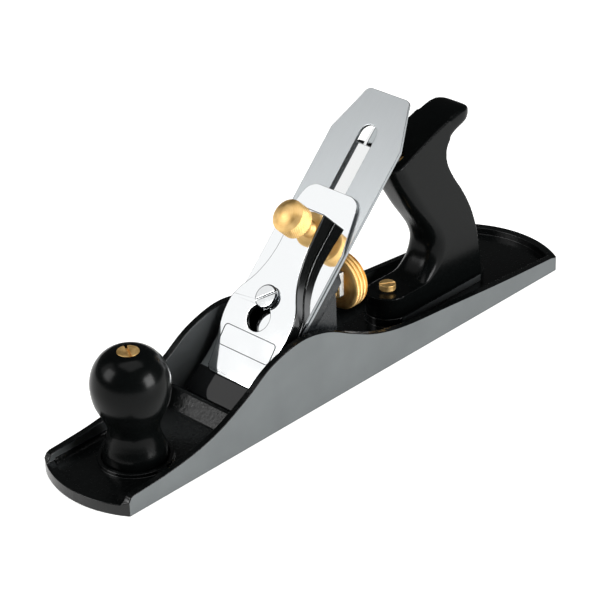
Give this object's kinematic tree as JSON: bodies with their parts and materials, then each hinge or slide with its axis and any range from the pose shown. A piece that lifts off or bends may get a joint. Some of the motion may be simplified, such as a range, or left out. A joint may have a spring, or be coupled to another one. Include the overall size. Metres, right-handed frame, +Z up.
{
  "type": "bench hand plane",
  "caption": "Metal bench plane with black knob and tote, adjustable frog, brass depth wheel, lateral lever, chrome lever cap with brass thumb screw, and a slotted cutter with cap iron.",
  "frame": {"origin": "middle of the flat sole, at the middle of its length and width", "axes": "+X towards the toe along the sole, +Y to the plane's left as the user pushes it, +Z up; a hinge is positive by the right-hand rule, a slide along its axis"},
  "size_m": [0.3556, 0.064, 0.1404],
  "materials": {
    "body_iron": "ground grey on the sole, cheeks and top edges, black enamel inside",
    "frog_enamel": "black enamel over cast iron",
    "steel": "turned or ground steel",
    "pressed_steel": "pale plated steel",
    "brass": "turned and polished brass",
    "cutter_steel": "lengthwise ground steel",
    "cap_iron_chrome": "polished",
    "lever_cap_chrome": "polished face, black enamel sides and underside",
    "handle_plastic": "glossy black"
  },
  "bodies": {
    "plane_body": {"body": "body_iron", "frog_screws": "steel", "frog_washers": "steel", "tote": "handle_plastic", "tote_bolt": "steel", "tote_nut": "brass", "toe_screw": "brass", "knob": "handle_plastic", "knob_bolt": "steel", "knob_nut": "brass"},
    "frog_group": {"frog": "frog_enamel", "frog_clip": "steel", "frog_clip_screw": "steel", "depth_stud": "steel", "yoke_pin": "steel", "lateral_pin": "steel", "lever_cap_screw": "pressed_steel"},
    "adjusting_screw": {"frog_adjusting_screw": "steel"},
    "wheel": {"depth_wheel": "brass"},
    "yoke_lever": {"yoke": "pressed_steel"},
    "lateral": {"lateral_lever": "pressed_steel"},
    "roller": {"lateral_roller": "pressed_steel"},
    "carrier": {"cap_iron_screw": "steel"},
    "cutter_pair": {"cutter": "cutter_steel", "cap_iron": "cap_iron_chrome"},
    "cap": {"lever_cap": "lever_cap_chrome"},
    "thumb": {"thumb_screw": "brass"}
  },
  "joints": [
    {"name": "frog_travel", "type": "slide", "parent": "plane_body", "child": "frog_group", "axis": [1, 0, 0], "range_m": [-0.0012, 0.0012]},
    {"name": "adjusting_screw_spin", "type": "hinge", "parent": "frog_group", "child": "adjusting_screw", "pos_m": [0.009, 0, 0.015], "axis": [1, 0, 0], "range_deg": [-434, 434]},
    {"name": "depth_wheel_spin", "type": "hinge", "parent": "frog_group", "child": "wheel", "pos_m": [-0.0206, 0, 0.044], "axis": [1, 0, 0], "range_deg": [-207.5, 207.5]},
    {"name": "yoke_swing", "type": "hinge", "parent": "frog_group", "child": "yoke_lever", "pos_m": [-0.00998, 0, 0.06198], "axis": [0, 1, 0], "range_deg": [-2.4, 2.4]},
    {"name": "cutter_depth", "type": "slide", "parent": "frog_group", "child": "carrier", "axis": [0.7071, 0, -0.7071], "range_m": [-0.0008, 0.0008]},
    {"name": "cutter_tilt", "type": "hinge", "parent": "carrier", "child": "cutter_pair", "pos_m": [0.0194, 0, 0.0594], "axis": [0.7071, 0, 0.7071], "range_deg": [-1.25, 1.25]},
    {"name": "lateral_swing", "type": "hinge", "parent": "frog_group", "child": "lateral", "pos_m": [-0.00711, 0, 0.08591], "axis": [0.7071, 0, 0.7071], "range_deg": [-7, 7]},
    {"name": "lateral_roller_spin", "type": "hinge", "parent": "lateral", "child": "roller", "pos_m": [-0.00322, 0, 0.08202], "axis": [0.7071, 0, 0.7071], "continuous": true},
    {"name": "lever_cap_release", "type": "slide", "parent": "frog_group", "child": "cap", "axis": [-0.7071, 0, 0.7071], "range_m": [0, 0.0116]},
    {"name": "thumb_screw_spin", "type": "hinge", "parent": "cap", "child": "thumb", "pos_m": [-0.00068, 0, 0.07948], "axis": [0.7071, 0, 0.7071], "range_deg": [0, 720]}
  ],
  "couplings": [
    {"joint": "adjusting_screw_spin", "follows": "frog_travel", "rad_per_m": 6283.2},
    {"joint": "yoke_swing", "follows": "cutter_depth", "rad_per_m": 50},
    {"joint": "depth_wheel_spin", "follows": "cutter_depth", "rad_per_m": 4516.7},
    {"joint": "cutter_tilt", "follows": "lateral_swing", "ratio": -0.1719}
  ]
}
